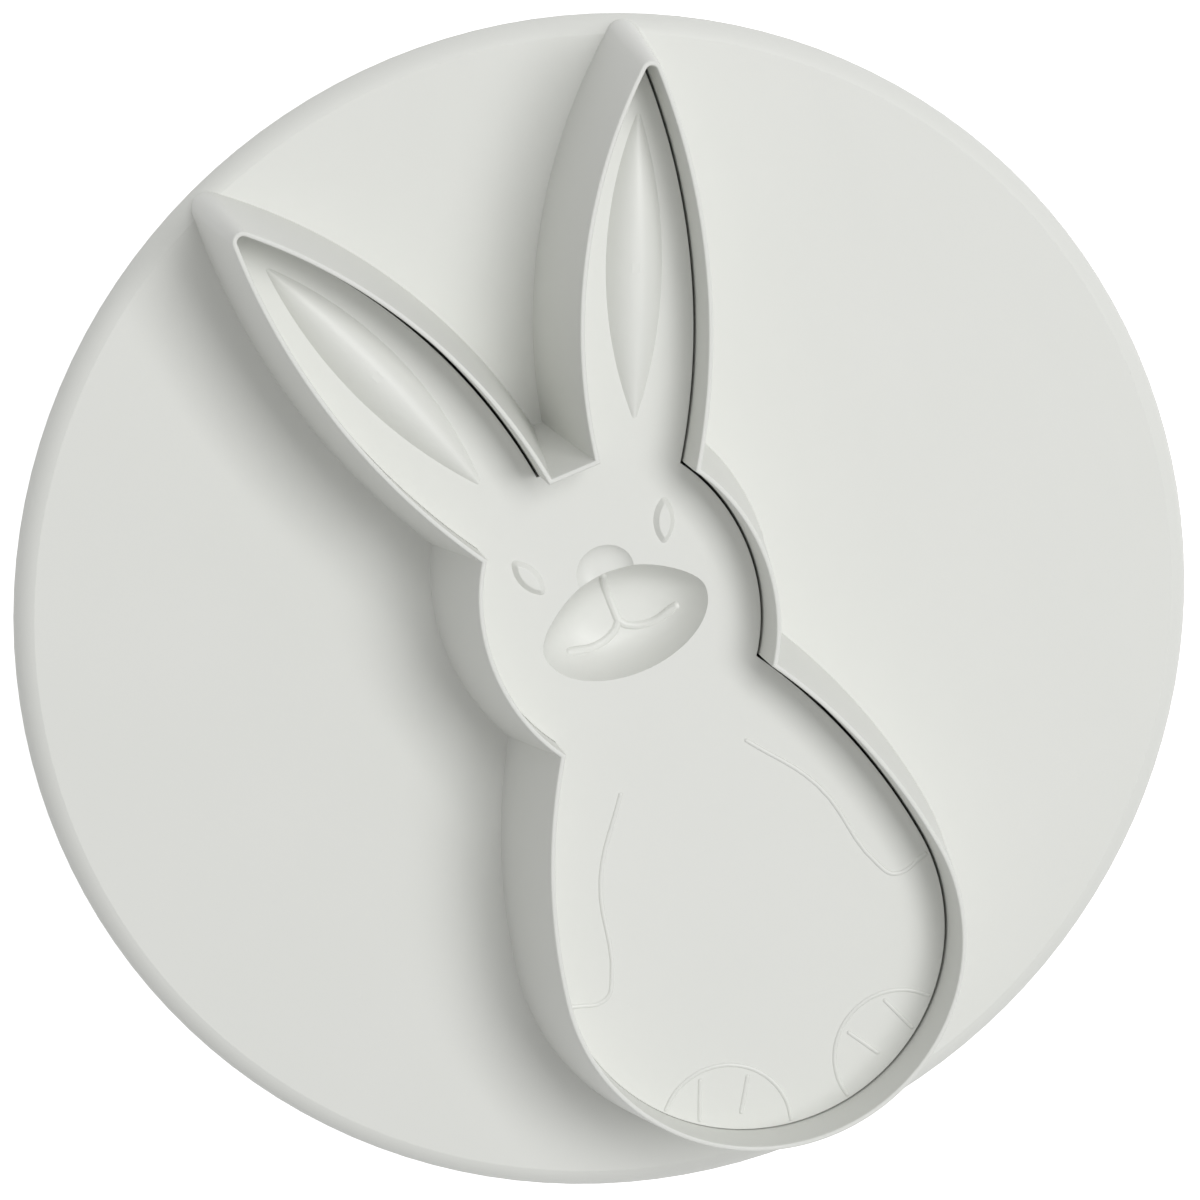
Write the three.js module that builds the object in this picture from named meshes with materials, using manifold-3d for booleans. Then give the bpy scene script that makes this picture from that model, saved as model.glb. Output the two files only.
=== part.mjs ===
// Spring-loaded embossing cutter in the outline of a sitting rabbit.
// A round flange carries a drafted cutting wall on its front and a guide tube on its back. Inside the wall
// slides an embossing plate on a stem; a coil spring round the guide tube pushes the knob at the stem's far
// end away from the flange, so the plate rests below the cutting edge until the knob is pressed.
// The part stands on its knob with the cutting edge up. The z axis is the axis of the stem, +y points from
// the rabbit's feet to its ears, and z = 0 is the foot of the knob.

import * as THREE from 'three';
import { mergeVertices } from 'three/addons/utils/BufferGeometryUtils.js';
import Module from 'manifold-3d';

const wasm = await Module();
wasm.setup();

// Driving dimensions, in millimetres

// Inside outline of the cutting wall: each ear is a leaf of two arcs that runs from its tip to a root inside
// the head, the head is an ellipse with a flat between the ears, and the body is an egg of a round bottom
// and two long side arcs.
const EAR_TIP = { x: 16.45, y: 39.58 };
const EAR_ROOT = { x: 1.95, y: 2.05 };
const EAR_OUTER_BULGE = 4.05;
const EAR_INNER_BULGE = 5.1;
const EAR_TIP_RADIUS = 0.45;
// Shares of the wall's growth beyond its edge width that an ear's sides have at the tip, and the tip's radius
const EAR_TIP_DRAFT = 0.64;
const EAR_TIP_ROUNDING = 0.28;
const HEAD_CENTRE_Y = 2.2;
const HEAD_HALF_WIDTH = 10.65;
const HEAD_HALF_HEIGHT = 12.65;
const HEAD_FLAT_DEPTH = 1.4;
const BODY_BOTTOM_Y = -25.6;
const BODY_BOTTOM_RADIUS = 15.05;
const BODY_SIDE_Y = -30;
const BODY_SIDE_RADIUS = 45.25;

// Cutting wall and flange
const WALL_HEIGHT = 12;
const EDGE_WIDTH = 0.35;
const WALL_DRAFT = 1.8;
const FLANGE_MARGIN = 0.4;
const FLANGE_THICKNESS = 2;
const FLANGE_EDGE_RADIUS = 0.4;

// Embossing plate
const PLATE_RECESS = 4.8;
const PLATE_PROUD = 1.2;
const PLATE_CLEARANCE = 0.15;
const PLATE_SKIN = 4.2;
const PLATE_SKIRT = 1.4;
const PLATE_BOSS_WALL = 2.4;

// Relief on the plate
const RIDGE_WIDTH = 0.38;
const RIDGE_HEIGHT = 0.15;
const RELIEF_MARGIN = 0.2;
const LEAF_UPPER_TIP = { x: 14.9, y: 35.75 };
const LEAF_LOWER_TIP = { x: 6.1, y: 14.25 };
const LEAF_OUTER_BULGE = 1.9;
const LEAF_INNER_BULGE = 2.3;
const LEAF_HEIGHT = 1;
const LEAF_SLOPE = 0.9;
const MUZZLE = { y: 0.7, halfWidth: 6.55, halfHeight: 4.05, depth: 3.1 };
const NOSE = { y: 4.8, halfWidth: 2.2, halfHeight: 1.95, depth: 0.6 };
const EYE_LOWER_TIP = { x: 4.8, y: 4.9 };
const EYE_UPPER_TIP = { x: 6.15, y: 8.35 };
const EYE_BULGE = 0.8;
const EYE_END_RADIUS = 0.3;
const EYE_HEIGHT = 0.39;
const MOUTH_HEIGHT = 0.25;
const MOUTH_TOP_Y = 4.5;
const MOUTH_FORK_Y = 0.2;
const MOUTH_DIP = { x: 2.3, y: -0.88 };
const MOUTH_END = { x: 4.4, y: -0.36 };
const ARM_SHOULDER = { x: 5.15, y: -11.4 };
const ARM_ELBOW = { x: 8.9, y: -16.8 };
const ARM_WRIST = { x: 10.95, y: -24.3 };
const HAND_TIP = { x: 11.9, y: -25.55 };
const HAND_END = { x: 15.5, y: -24.85 };
const FOOT_ARC = { x: 7.15, y: -38.75, radius: 5 };
// Toe lines, from the centre of the foot's arc
const INNER_TOE_TOP = { x: -2.95, y: 3.15 };
const INNER_TOE_END = { x: -1.5, y: 0.8 };
const OUTER_TOE_TOP = { x: 0.5, y: 4.35 };
const OUTER_TOE_END = { x: 1.65, y: 1.55 };

// Stem, guide tube and spring
const STEM_RADIUS = 5;
const SLIDE_CLEARANCE = 0.25;
const GUIDE_WALL = 2.6;
const GUIDE_LENGTH = 12.5;
const SPRING_WIRE = 1.2;
const SPRING_TURNS = 6.5;
const SPRING_CLEARANCE = 0.6;
const SPRING_STEPS_PER_TURN = 8;
const SPRING_SIDES = 5;

// Push knob and its screw
const KNOB_WALL = 7;
const KNOB_CUP_DEPTH = 5;
const KNOB_CUP_CLEARANCE = 0.8;
const KNOB_FOOT_RADIUS = 3;
const KNOB_RIM_RADIUS = 1.5;
const KNOB_SOCKET_DEPTH = 3;
const KNOB_WEB = 1.8;
const SCREW_RADIUS = 1.5;
const SCREW_LENGTH = 10;
const SCREW_HEAD_RADIUS = 3;
const SCREW_HEAD_HEIGHT = 1.9;
const SCREW_HEAD_SUNK = 0.7;
const SCREW_SLOT_WIDTH = 0.8;
const SCREW_SLOT_DEPTH = 1.1;
const SCREW_SLOT_LENGTH = 4.2;

// Gap kept between pieces that are pressed or screwed together
const SEAT_GAP = 0.3;
// How far a raised or cut form reaches past the surface that it joins
const OVERLAP = 0.5;
// Smallest radius that an inset outline keeps at the ear tips
const LEAST_TIP_RADIUS = 0.2;
// Shortest stretch that is kept between two points of an outline
const LEAST_STRETCH = 0.0001;
// How far a dish's tool reaches past its rim, as a share of its half width
const DISH_REACH = 1.04;
// Power of the way to the rim with which a dish's floor rises
const DISH_POWER = 4;

// Facets: steps along each arc of an outline, round a turned piece, and from the middle to the rim of a dish
const ARC_STEPS = 12;
const TURN_STEPS = 48;
const DISH_STEPS = 10;
const FILLET_STEPS = 4;

// Heights and radii that follow from them
const travel = PLATE_RECESS + PLATE_PROUD;
const boreRadius = STEM_RADIUS + SLIDE_CLEARANCE;
const guideRadius = boreRadius + GUIDE_WALL;
const springFlatRadius = guideRadius + SPRING_CLEARANCE + SPRING_WIRE / 2;
const springRadius = springFlatRadius / Math.cos(Math.PI / SPRING_STEPS_PER_TURN);
const cupRadius = springRadius + SPRING_WIRE / 2 + KNOB_CUP_CLEARANCE;
const knobRadius = cupRadius + KNOB_WALL;
const footOffset = EDGE_WIDTH + WALL_DRAFT;

const webBottomZ = SCREW_HEAD_SUNK + SCREW_HEAD_HEIGHT;
const stemBottomZ = webBottomZ + KNOB_WEB;
const knobFloorZ = stemBottomZ + KNOB_SOCKET_DEPTH;
const knobTopZ = knobFloorZ + KNOB_CUP_DEPTH;
const guideEndZ = knobFloorZ + travel + SEAT_GAP;
const flangeBackZ = guideEndZ + GUIDE_LENGTH;
const flangeFrontZ = flangeBackZ + FLANGE_THICKNESS;
const edgeZ = flangeFrontZ + WALL_HEIGHT;
const plateFaceZ = edgeZ - PLATE_RECESS;
const plateUnderZ = plateFaceZ - PLATE_SKIN;
const plateBottomZ = flangeFrontZ + SEAT_GAP;

// Solids: a closed geometry becomes a solid to be joined or cut, and back again

function solidOf(geometry) {
  const bare = geometry.clone();
  bare.deleteAttribute('normal');
  bare.deleteAttribute('uv');
  const merged = mergeVertices(bare, 1e-5);
  return new wasm.Manifold(new wasm.Mesh({
    numProp: 3,
    vertProperties: new Float32Array(merged.attributes.position.array),
    triVerts: new Uint32Array(merged.index.array),
  }));
}

function geometryOf(solid) {
  const mesh = solid.getMesh();
  const geometry = new THREE.BufferGeometry();
  geometry.setAttribute('position', new THREE.BufferAttribute(new Float32Array(mesh.vertProperties), 3));
  geometry.setIndex(new THREE.BufferAttribute(new Uint32Array(mesh.triVerts), 1));
  geometry.computeVertexNormals();
  return geometry;
}

const joined = (solids) => solids.reduce((sum, solid) => sum.add(solid));

// Outlines of the rabbit's lobes, each grown outwards by an even distance

// The two points where two circles cross, the one nearer to the ear tip first.
function circleCrossings(a, b) {
  const between = new THREE.Vector2(b.x - a.x, b.y - a.y);
  const apart = between.length();
  const along = (a.radius ** 2 - b.radius ** 2 + apart ** 2) / (2 * apart);
  const aside = Math.sqrt(a.radius ** 2 - along ** 2);
  between.normalize();
  const foot = new THREE.Vector2(a.x, a.y).addScaledVector(between, along);
  const normal = new THREE.Vector2(-between.y, between.x);
  return [aside, -aside].map((side) => foot.clone().addScaledVector(normal, side));
}

const vector = (point, side = 1) => new THREE.Vector2(side * point.x, point.y);

const bearing = (from, to) => Math.atan2(to.y - from.y, to.x - from.x);

const grown = (arc, grow) => ({ x: arc.x, y: arc.y, radius: arc.radius + grow });

// The circle through two points whose arc bulges by a distance to the right of the way from the first to the
// second, or to the left for a side of -1.
function arcBetween(from, to, bulge, side) {
  const half = Math.hypot(to.x - from.x, to.y - from.y) / 2;
  const radius = (half ** 2 + bulge ** 2) / (2 * bulge);
  const reach = (side * (bulge - radius)) / (2 * half);
  return {
    x: (from.x + to.x) / 2 + reach * (to.y - from.y),
    y: (from.y + to.y) / 2 - reach * (to.x - from.x),
    radius,
  };
}

// Such an arc moved outwards by one distance at its start and by another at its end.
function grownArc(from, to, bulge, side, fromGrow, toGrow) {
  const arc = arcBetween(from, to, bulge, side);
  const centre = vector(arc);
  const moved = (point, grow) => centre.clone().lerp(vector(point), 1 + grow / arc.radius);
  return arcBetween(moved(from, fromGrow), moved(to, toGrow), bulge * (1 + fromGrow / arc.radius), side);
}

// A leaf between an outer and an inner arc with both ends rounded, grown by one distance at its root and,
// where that is given, by another at its tip.
function leafOutline(root, tip, outerBulge, innerBulge, grow, endRadius, tipGrow = grow) {
  const outer = grownArc(root, tip, outerBulge, 1, grow, tipGrow);
  const inner = grownArc(root, tip, innerBulge, -1, grow, tipGrow);
  return lensOutline(outer, inner, endRadius);
}

// A lens between two arcs, with both ends rounded.
function lensOutline(outer, inner, endRadius) {
  const [tip, root] = circleCrossings(grown(outer, -endRadius), grown(inner, -endRadius));
  const path = new THREE.Path();
  path.absarc(outer.x, outer.y, outer.radius, bearing(outer, root), bearing(outer, tip), false);
  path.absarc(tip.x, tip.y, endRadius, bearing(outer, tip), bearing(inner, tip), false);
  path.absarc(inner.x, inner.y, inner.radius, bearing(inner, tip), bearing(inner, root), false);
  path.absarc(root.x, root.y, endRadius, bearing(inner, root), bearing(outer, root), false);
  return path;
}

function earOutline(grow) {
  const beyond = Math.max(grow - EDGE_WIDTH, 0);
  const even = grow - beyond;
  const endRadius = Math.max(EAR_TIP_RADIUS + even + EAR_TIP_ROUNDING * beyond, LEAST_TIP_RADIUS);
  const tipGrow = even + EAR_TIP_DRAFT * beyond;
  return leafOutline(EAR_ROOT, EAR_TIP, EAR_OUTER_BULGE, EAR_INNER_BULGE, grow, endRadius, tipGrow);
}

function headOutline(grow) {
  const width = HEAD_HALF_WIDTH + grow;
  const height = HEAD_HALF_HEIGHT + grow;
  const flatAngle = Math.asin((height - HEAD_FLAT_DEPTH) / height);
  const path = new THREE.Path();
  path.absellipse(0, HEAD_CENTRE_Y, width, height, Math.PI - flatAngle, Math.PI * 1.5, false, 0);
  path.absellipse(0, HEAD_CENTRE_Y, width, height, -Math.PI / 2, flatAngle, false, 0);
  return path;
}

function bodyOutline(grow) {
  const rise = BODY_BOTTOM_Y - BODY_SIDE_Y;
  const sideX = Math.sqrt((BODY_SIDE_RADIUS - BODY_BOTTOM_RADIUS) ** 2 - rise ** 2);
  const sideRadius = BODY_SIDE_RADIUS + grow;
  const meet = Math.atan2(rise, sideX);
  const apex = Math.acos(sideX / sideRadius);
  const path = new THREE.Path();
  path.absarc(-sideX, BODY_SIDE_Y, sideRadius, meet, apex, false);
  path.absarc(sideX, BODY_SIDE_Y, sideRadius, Math.PI - apex, Math.PI - meet, false);
  path.absarc(0, BODY_BOTTOM_Y, BODY_BOTTOM_RADIUS + grow, Math.PI - meet, 2 * Math.PI + meet, false);
  return path;
}

// The points of a closed path, without repeats.
function loopOf(path) {
  const points = path.getPoints(ARC_STEPS);
  return points.filter((point, i) => point.distanceTo(points[(i + 1) % points.length]) > LEAST_STRETCH);
}

const mirrored = (points) => points.map((point) => new THREE.Vector2(-point.x, point.y)).reverse();

const LOBES = [
  (grow) => loopOf(bodyOutline(grow)),
  (grow) => loopOf(headOutline(grow)),
  (grow) => loopOf(earOutline(grow)),
  (grow) => mirrored(loopOf(earOutline(grow))),
];

// A closed solid between a lower and an upper loop with the same number of points.
function loft(lower, upper, lowerZ, upperZ) {
  const count = lower.length;
  const positions = [];
  lower.forEach((point) => positions.push(point.x, point.y, lowerZ));
  upper.forEach((point) => positions.push(point.x, point.y, upperZ));
  const index = [];
  for (let i = 0; i < count; i += 1) {
    const next = (i + 1) % count;
    index.push(i, next, count + next, i, count + next, count + i);
  }
  const lowerCap = THREE.ShapeUtils.triangulateShape(lower, []);
  const upperCap = THREE.ShapeUtils.triangulateShape(upper, []);
  lowerCap.forEach(([a, b, c]) => index.push(c, b, a));
  upperCap.forEach(([a, b, c]) => index.push(count + a, count + b, count + c));
  const geometry = new THREE.BufferGeometry();
  geometry.setAttribute('position', new THREE.Float32BufferAttribute(positions, 3));
  geometry.setIndex(index);
  return solidOf(geometry);
}

// The rabbit as a solid whose outline is grown by one distance at its lower and another at its upper end.
const rabbit = (lowerGrow, upperGrow, lowerZ, upperZ) => joined(
  LOBES.map((lobe) => loft(lobe(lowerGrow), lobe(upperGrow), lowerZ, upperZ)),
);

// Turned pieces

const turned = (profile) => new THREE.LatheGeometry(profile, TURN_STEPS).rotateX(Math.PI / 2);

const at = (radius, z) => new THREE.Vector2(radius, z);

// Points of a rounded corner, from one angle to another in degrees.
function fillet(radius, z, size, from, to) {
  const points = [];
  for (let i = 0; i <= FILLET_STEPS; i += 1) {
    const angle = THREE.MathUtils.degToRad(from + ((to - from) * i) / FILLET_STEPS);
    points.push(at(radius + size * Math.cos(angle), z + size * Math.sin(angle)));
  }
  return points;
}

const cylinder = (radius, lowerZ, upperZ) => solidOf(
  new THREE.CylinderGeometry(radius, radius, upperZ - lowerZ, TURN_STEPS)
    .rotateX(Math.PI / 2)
    .translate(0, 0, (lowerZ + upperZ) / 2),
);

// Cutter body: flange, cutting wall and guide tube

function flangeDisc() {
  const reach = LOBES.flatMap((lobe) => lobe(footOffset)).map((point) => point.length());
  const radius = Math.max(...reach) + FLANGE_MARGIN;
  const edge = radius - FLANGE_EDGE_RADIUS;
  const profile = [
    at(boreRadius, flangeBackZ),
    ...fillet(edge, flangeBackZ + FLANGE_EDGE_RADIUS, FLANGE_EDGE_RADIUS, -90, 0),
    ...fillet(edge, flangeFrontZ - FLANGE_EDGE_RADIUS, FLANGE_EDGE_RADIUS, 0, 90),
    at(boreRadius, flangeFrontZ),
    at(boreRadius, flangeBackZ),
  ];
  return turned(profile);
}

function cuttingWall() {
  const outside = rabbit(footOffset, EDGE_WIDTH, flangeFrontZ, edgeZ);
  const inside = rabbit(0, 0, flangeFrontZ - OVERLAP, edgeZ + OVERLAP);
  return geometryOf(outside.subtract(inside));
}

function guideTube() {
  const profile = [
    at(boreRadius, guideEndZ),
    at(guideRadius, guideEndZ),
    at(guideRadius, flangeBackZ),
    at(boreRadius, flangeBackZ),
    at(boreRadius, guideEndZ),
  ];
  return turned(profile);
}

// Relief of the plate

// A raised line along a curve, from one height to another.
function ridge(curve, steps, lowerZ, upperZ) {
  const left = [];
  const right = [];
  for (let i = 0; i <= steps; i += 1) {
    const point = curve.getPoint(i / steps);
    const tangent = curve.getTangent(i / steps);
    const normal = new THREE.Vector2(-tangent.y, tangent.x).multiplyScalar(RIDGE_WIDTH / 2);
    left.push(point.clone().add(normal));
    right.push(point.clone().sub(normal));
  }
  const loop = [...right, ...left.reverse()];
  return loft(loop, loop, lowerZ, upperZ);
}

const faceRidge = (curve, steps) => ridge(curve, steps, plateFaceZ - OVERLAP, plateFaceZ + RIDGE_HEIGHT);

// A bowl on the plate's face, for a dish that is cut, with a flat middle and a steep rim.
function dishSolid({ y, halfWidth, halfHeight, depth }) {
  const floor = [];
  for (let i = 0; i <= DISH_STEPS; i += 1) {
    const share = (DISH_REACH * i) / DISH_STEPS;
    floor.push([share, depth * (share ** DISH_POWER - 1)]);
  }
  const profile = [...floor, [0, floor[DISH_STEPS][1]]];
  return wasm.Manifold.revolve([profile], TURN_STEPS)
    .scale([halfWidth, halfHeight, 1])
    .translate([0, y, plateFaceZ]);
}

const dishes = () => joined([dishSolid(MUZZLE), dishSolid(NOSE)]);

// The raised almond of an eye.
function eyeBead(side) {
  const path = leafOutline(EYE_LOWER_TIP, EYE_UPPER_TIP, EYE_BULGE, EYE_BULGE, 0, EYE_END_RADIUS);
  const outline = side > 0 ? loopOf(path) : mirrored(loopOf(path));
  return loft(outline, outline, plateFaceZ - OVERLAP, plateFaceZ + EYE_HEIGHT);
}

// The raised leaf inside an ear, its sides sloping in to a flat top.
function earLeaf(side) {
  const outline = (grow) => {
    const path = leafOutline(
      LEAF_LOWER_TIP, LEAF_UPPER_TIP, LEAF_OUTER_BULGE, LEAF_INNER_BULGE, grow, LEAST_TIP_RADIUS,
    );
    return side > 0 ? loopOf(path) : mirrored(loopOf(path));
  };
  return loft(outline(0), outline(-LEAF_SLOPE), plateFaceZ - OVERLAP, plateFaceZ + LEAF_HEIGHT);
}

// The mouth's lines, which keep one height above the floor of the dishes.
function mouthRidges() {
  const floorZ = plateFaceZ - MUZZLE.depth - OVERLAP;
  const fork = new THREE.Vector2(0, MOUTH_FORK_Y);
  const stroke = new THREE.LineCurve(new THREE.Vector2(0, MOUTH_TOP_Y), fork);
  const smile = (side) => new THREE.SplineCurve([fork, vector(MOUTH_DIP, side), vector(MOUTH_END, side)]);
  const lines = [
    ridge(stroke, 1, floorZ, plateFaceZ),
    ridge(smile(1), ARC_STEPS, floorZ, plateFaceZ),
    ridge(smile(-1), ARC_STEPS, floorZ, plateFaceZ),
  ];
  return joined(lines).subtract(dishes().translate([0, 0, MOUTH_HEIGHT]));
}

function armRidge(side) {
  const points = [ARM_SHOULDER, ARM_ELBOW, ARM_WRIST, HAND_TIP, HAND_END];
  return faceRidge(new THREE.SplineCurve(points.map((point) => vector(point, side))), 2 * ARC_STEPS);
}

function footRidges(side) {
  const { x, y, radius } = FOOT_ARC;
  const arc = new THREE.ArcCurve(side * x, y, radius, 0, Math.PI * 1.25, false);
  const mirroredArc = new THREE.ArcCurve(side * x, y, radius, -Math.PI / 4, Math.PI, false);
  const onFoot = (point) => new THREE.Vector2(side * (x + point.x), y + point.y);
  const toe = (top, end) => faceRidge(new THREE.LineCurve(onFoot(top), onFoot(end)), 1);
  return [
    faceRidge(side > 0 ? arc : mirroredArc, 2 * ARC_STEPS),
    toe(INNER_TOE_TOP, INNER_TOE_END),
    toe(OUTER_TOE_TOP, OUTER_TOE_END),
  ];
}

// Plunger: plate, stem and knob

function embossingPlate() {
  const reliefEdge = -PLATE_CLEARANCE - RELIEF_MARGIN;
  const column = rabbit(reliefEdge, reliefEdge, plateUnderZ, edgeZ);
  const blank = rabbit(-PLATE_CLEARANCE, -PLATE_CLEARANCE, plateBottomZ, plateFaceZ);
  const skirtInside = -PLATE_CLEARANCE - PLATE_SKIRT;
  const hollow = rabbit(skirtInside, skirtInside, plateBottomZ - OVERLAP, plateUnderZ);
  const socketRadius = STEM_RADIUS + SEAT_GAP;
  const boss = cylinder(socketRadius + PLATE_BOSS_WALL, plateBottomZ, plateUnderZ + OVERLAP);
  const socket = cylinder(socketRadius, plateBottomZ - OVERLAP, plateUnderZ);
  const relief = [1, -1].flatMap((side) => [
    earLeaf(side),
    eyeBead(side),
    armRidge(side),
    ...footRidges(side),
  ]);
  const carved = joined([blank.subtract(hollow), boss]).subtract(socket).subtract(dishes());
  return geometryOf(joined([carved, joined(relief).intersect(column), mouthRidges()]));
}

function plungerStem() {
  const pilotRadius = SCREW_RADIUS + SEAT_GAP;
  const pilotTopZ = webBottomZ + SCREW_LENGTH + SEAT_GAP;
  const rod = cylinder(STEM_RADIUS, stemBottomZ, plateUnderZ);
  return geometryOf(rod.subtract(cylinder(pilotRadius, stemBottomZ - OVERLAP, pilotTopZ)));
}

function pushKnob() {
  const sinkRadius = SCREW_HEAD_RADIUS + SEAT_GAP;
  const holeRadius = SCREW_RADIUS + SEAT_GAP;
  const socketRadius = STEM_RADIUS + SEAT_GAP;
  const profile = [
    at(sinkRadius, 0),
    ...fillet(knobRadius - KNOB_FOOT_RADIUS, KNOB_FOOT_RADIUS, KNOB_FOOT_RADIUS, -90, 0),
    ...fillet(knobRadius - KNOB_RIM_RADIUS, knobTopZ - KNOB_RIM_RADIUS, KNOB_RIM_RADIUS, 0, 90),
    at(cupRadius, knobTopZ),
    at(cupRadius, knobFloorZ),
    at(socketRadius, knobFloorZ),
    at(socketRadius, stemBottomZ),
    at(holeRadius, stemBottomZ),
    at(holeRadius, webBottomZ),
    at(sinkRadius, webBottomZ),
    at(sinkRadius, 0),
  ];
  return turned(profile);
}

function knobScrew() {
  const head = cylinder(SCREW_HEAD_RADIUS, SCREW_HEAD_SUNK, webBottomZ);
  const shank = cylinder(SCREW_RADIUS, webBottomZ - OVERLAP, webBottomZ + SCREW_LENGTH);
  const slotHeight = SCREW_SLOT_DEPTH + OVERLAP;
  const slots = [0, Math.PI / 2].map((turn) => solidOf(
    new THREE.BoxGeometry(SCREW_SLOT_LENGTH, SCREW_SLOT_WIDTH, slotHeight)
      .rotateZ(turn)
      .translate(0, 0, SCREW_HEAD_SUNK + SCREW_SLOT_DEPTH - slotHeight / 2),
  ));
  return geometryOf(head.add(shank).subtract(joined(slots)));
}

// Return spring: one tube along a helix whose ends turn square to the knob's floor and the flange's back

function springPath() {
  const lowerZ = knobFloorZ + SEAT_GAP;
  const upperZ = flangeBackZ - SEAT_GAP;
  const steps = Math.round(SPRING_TURNS * SPRING_STEPS_PER_TURN);
  const points = [new THREE.Vector3(springRadius, 0, lowerZ)];
  for (let i = 0; i <= steps; i += 1) {
    const angle = (2 * Math.PI * i) / SPRING_STEPS_PER_TURN;
    const z = THREE.MathUtils.lerp(lowerZ + SPRING_WIRE, upperZ - SPRING_WIRE, i / steps);
    points.push(new THREE.Vector3(springRadius * Math.cos(angle), springRadius * Math.sin(angle), z));
  }
  const last = points[points.length - 1];
  points.push(new THREE.Vector3(last.x, last.y, upperZ));
  return points;
}

// A tube with mitred corners along a path: each ring lies in the plane that halves its corner.
function tubeAlong(path, radius, sides) {
  const directions = path.slice(1).map((point, i) => point.clone().sub(path[i]).normalize());
  const across = new THREE.Vector3(1, 0, 0);
  const beside = new THREE.Vector3().crossVectors(directions[0], across);
  const rings = [];
  for (let k = 0; k < sides; k += 1) {
    const angle = (2 * Math.PI * k) / sides;
    rings.push(path[0].clone()
      .addScaledVector(across, radius * Math.cos(angle))
      .addScaledVector(beside, radius * Math.sin(angle)));
  }
  for (let i = 1; i < path.length; i += 1) {
    const along = directions[i - 1];
    const normal = along.clone().add(directions[i] ?? along);
    for (let k = 0; k < sides; k += 1) {
      const from = rings[(i - 1) * sides + k];
      const distance = path[i].clone().sub(from).dot(normal) / along.dot(normal);
      rings.push(from.clone().addScaledVector(along, distance));
    }
  }
  const index = [];
  const lastRing = (path.length - 1) * sides;
  for (let i = 0; i < lastRing; i += sides) {
    for (let k = 0; k < sides; k += 1) {
      const next = (k + 1) % sides;
      index.push(i + k, i + next, i + sides + next, i + k, i + sides + next, i + sides + k);
    }
  }
  for (let k = 1; k < sides - 1; k += 1) {
    index.push(0, k + 1, k, lastRing, lastRing + k, lastRing + k + 1);
  }
  const geometry = new THREE.BufferGeometry().setFromPoints(rings);
  geometry.setIndex(index);
  geometry.computeVertexNormals();
  return geometry;
}

// Least gap between stretches of the wire that lie at least half a turn apart along it.
function leastSelfGap(path, wire, stepsApart) {
  let least = Infinity;
  for (let i = 0; i < path.length; i += 1) {
    for (let j = i + stepsApart; j < path.length; j += 1) {
      least = Math.min(least, path[i].distanceTo(path[j]) - wire);
    }
  }
  return least;
}

function returnSpring() {
  const path = springPath();
  const gap = leastSelfGap(path, SPRING_WIRE, SPRING_STEPS_PER_TURN / 2);
  console.log(`return_spring least gap between turns: ${gap.toFixed(2)} mm`);
  return tubeAlong(path, SPRING_WIRE / 2, SPRING_SIDES);
}

// Scene graph

const WHITE_PLASTIC = { color: 0xdcddd4, roughness: 0.5, metalness: 0 };
const SPRING_STEEL = { color: 0xb9bcc0, roughness: 0.3, metalness: 1 };

function piece(name, geometry, finish) {
  const mesh = new THREE.Mesh(geometry, new THREE.MeshStandardMaterial(finish));
  mesh.name = name;
  return mesh;
}

const cutterBody = new THREE.Group();
cutterBody.add(
  piece('flange_disc', flangeDisc(), WHITE_PLASTIC),
  piece('cutting_wall', cuttingWall(), WHITE_PLASTIC),
  piece('guide_tube', guideTube(), WHITE_PLASTIC),
  piece('return_spring', returnSpring(), SPRING_STEEL),
);

const plunger = new THREE.Group();
plunger.add(
  piece('embossing_plate', embossingPlate(), WHITE_PLASTIC),
  piece('plunger_stem', plungerStem(), WHITE_PLASTIC),
  piece('push_knob', pushKnob(), WHITE_PLASTIC),
  piece('knob_screw', knobScrew(), SPRING_STEEL),
);

const cutter = new THREE.Group();
cutter.add(cutterBody, plunger);

export default cutter;
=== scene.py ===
"""Looks of a sprung rabbit cutter that stands on its knob with the cutting edge up.

One white moulding carries the cutting wall in front and a guide tube behind. The embossed plate slides
inside the wall on a stem, and a steel spring between the flange and the knob pulls the plate back.
"""

import math

import bmesh
import bpy
from mathutils import Matrix, Vector


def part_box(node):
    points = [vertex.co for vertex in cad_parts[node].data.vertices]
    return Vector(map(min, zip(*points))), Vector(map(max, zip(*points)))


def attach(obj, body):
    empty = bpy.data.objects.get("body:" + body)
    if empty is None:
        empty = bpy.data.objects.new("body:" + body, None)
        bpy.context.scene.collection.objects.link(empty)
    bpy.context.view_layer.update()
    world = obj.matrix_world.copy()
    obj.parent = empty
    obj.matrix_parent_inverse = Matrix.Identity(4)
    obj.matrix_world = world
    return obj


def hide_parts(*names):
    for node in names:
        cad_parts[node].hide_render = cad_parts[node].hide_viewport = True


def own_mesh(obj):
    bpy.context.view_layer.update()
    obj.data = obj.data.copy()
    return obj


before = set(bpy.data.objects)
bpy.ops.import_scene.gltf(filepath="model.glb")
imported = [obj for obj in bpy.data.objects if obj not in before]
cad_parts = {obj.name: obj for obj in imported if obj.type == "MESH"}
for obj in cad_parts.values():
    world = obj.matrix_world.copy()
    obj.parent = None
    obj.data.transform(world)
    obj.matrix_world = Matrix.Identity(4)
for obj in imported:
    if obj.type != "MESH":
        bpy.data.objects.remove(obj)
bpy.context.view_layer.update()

MM = 0.001

# Inside outline of the cutting wall: ears of two arcs, head ellipse with a flat, egg-shaped body
EAR_TIP = Vector((16.45, 39.58)) * MM
EAR_ROOT = Vector((1.95, 2.05)) * MM
EAR_OUTER_BULGE = 4.05 * MM
EAR_INNER_BULGE = 5.1 * MM
EAR_TIP_RADIUS = 0.45 * MM
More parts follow.
